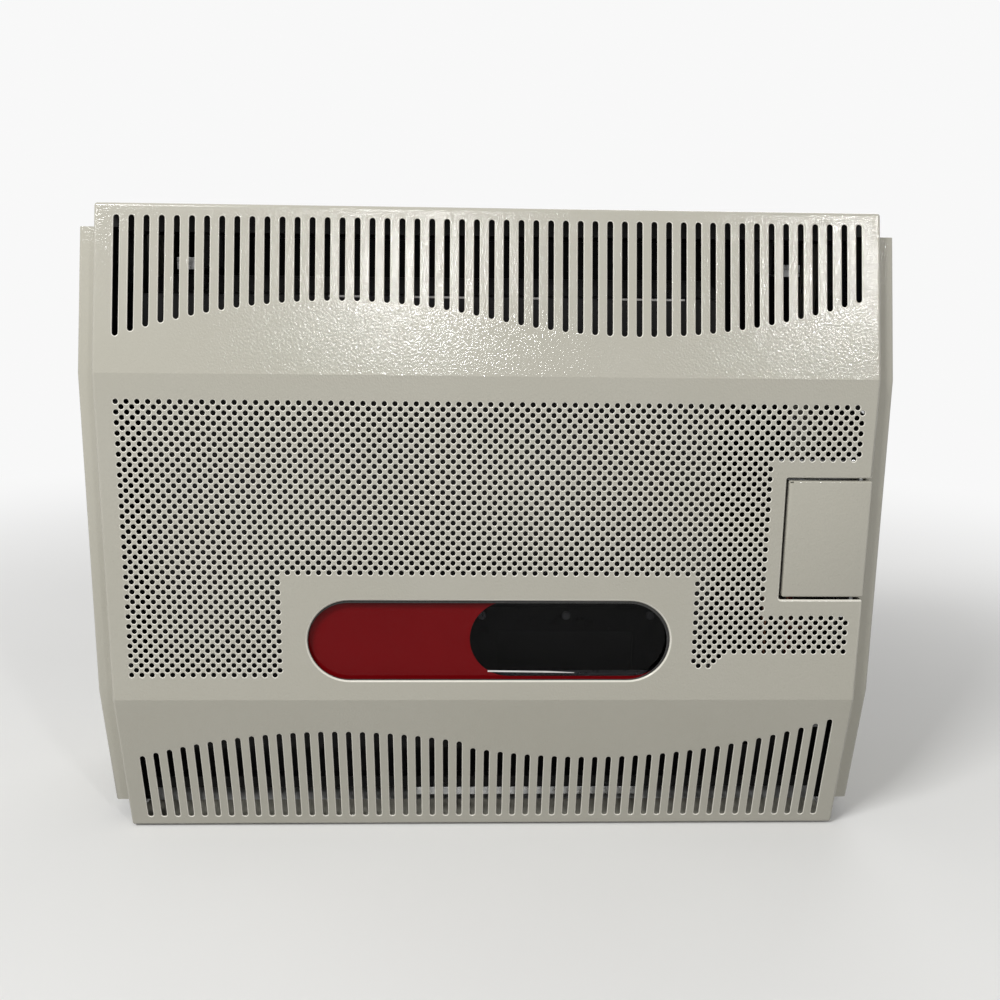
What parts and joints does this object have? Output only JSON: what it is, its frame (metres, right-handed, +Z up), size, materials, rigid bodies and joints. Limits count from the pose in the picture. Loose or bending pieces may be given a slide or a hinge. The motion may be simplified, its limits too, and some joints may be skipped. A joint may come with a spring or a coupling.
{
  "type": "wall mounted gas heater",
  "caption": "Balanced-flue gas heater hung on a wall plate, with a perforated folded front, a viewing window, a hinged control flap and a sealed burner chamber.",
  "frame": {"origin": "middle of the wall plate's rear face, on the wall", "axes": "+X to the right seen from the room, +Y back into the wall, +Z up"},
  "size_m": [0.558, 0.2003, 0.452],
  "materials": {
    "cream_enamel": "textured semi-gloss powder coat",
    "plate_steel": "galvanised sheet",
    "black_enamel": "heat-resistant vitreous enamel, semi-matt",
    "zinc": "bright zinc plate",
    "felt": "woven glass-fibre tape",
    "tinted_glass": "dark tinted toughened pane",
    "red_print": "glossy enamel print on the pane's rear",
    "magnet": "sintered ferrite",
    "aluminium": "cast or drawn, satin",
    "brass": "turned, satin",
    "black_plastic": "moulded, fine texture",
    "stainless": "heat-tinted stainless",
    "red_plastic": "moulded",
    "lead_rubber": "silicone sleeve",
    "gasket": "ceramic-fibre board",
    "clear_glass": "heat-resistant pane",
    "copper_tube": "drawn copper",
    "ceramic": "glazed alumina"
  },
  "bodies": {
    "casing": {"front_panel": "cream_enamel", "left_cheek": "cream_enamel", "right_cheek": "cream_enamel", "wall_plate": "plate_steel", "top_deflector": "black_enamel", "bottom_rail": "black_enamel", "panel_stops": "zinc", "lower_strip": "zinc", "panel_studs": "zinc", "casing_rivets": "zinc", "rail_screws": "zinc", "window_felt": "felt", "window_glass": "tinted_glass", "window_print": "red_print", "window_rails": "zinc", "flap_ears": "zinc", "catch_bracket": "zinc", "flap_magnet": "magnet", "control_plate": "plate_steel", "fascia": "aluminium", "plate_screws": "zinc", "gas_valve": "aluminium", "knob_spring": "stainless", "igniter_body": "black_plastic", "igniter_nut": "zinc", "button_spring": "stainless", "ignition_lead": "lead_rubber", "front_shell": "black_enamel", "rear_shell": "black_enamel", "shell_gasket_ring": "gasket", "shell_bolts": "zinc", "shell_brackets": "plate_steel", "flue_baffle": "stainless", "sight_glass": "clear_glass", "sight_gasket": "gasket", "sight_frame": "stainless", "chamber_screws": "zinc", "access_cover": "plate_steel", "access_gasket": "gasket", "burner_tube": "stainless", "burner_saddles": "stainless", "injector": "brass", "main_gas_pipe": "aluminium", "pilot_burner": "stainless", "pilot_plate": "stainless", "pilot_gas_pipe": "copper_tube", "thermocouple": "copper_tube", "spark_electrode": "ceramic", "electrode_rod": "stainless", "thermostat_bulb": "copper_tube", "bulb_clip": "zinc", "gas_inlet": "brass", "exhaust_stub": "black_enamel", "air_box": "plate_steel"},
    "flap": {"control_flap": "cream_enamel", "flap_pins": "zinc"},
    "knob_carrier": {"thrust_washer": "stainless"},
    "knob": {"control_knob": "black_plastic", "valve_spindle": "brass"},
    "igniter_key": {"igniter_button": "red_plastic"}
  },
  "joints": [
    {"name": "flap_hinge", "type": "hinge", "parent": "casing", "child": "flap", "pos_m": [0.2585, -0.1935, 0.0035], "axis": [0, 0, 1], "range_deg": [0, 90]},
    {"name": "knob_push", "type": "slide", "parent": "casing", "child": "knob_carrier", "axis": [0, 1, 0], "range_m": [0, 0.004], "stiffness_N_per_m": 1200, "springref_m": -0.002, "deforming": ["knob_spring"]},
    {"name": "knob_turn", "type": "hinge", "parent": "knob_carrier", "child": "knob", "pos_m": [0.23, -0.177, 0.016], "axis": [0, -1, 0], "range_deg": [0, 270]},
    {"name": "igniter_press", "type": "slide", "parent": "casing", "child": "igniter_key", "axis": [0, 1, 0], "range_m": [0, 0.006], "stiffness_N_per_m": 900, "springref_m": -0.002, "deforming": ["button_spring"]}
  ]
}
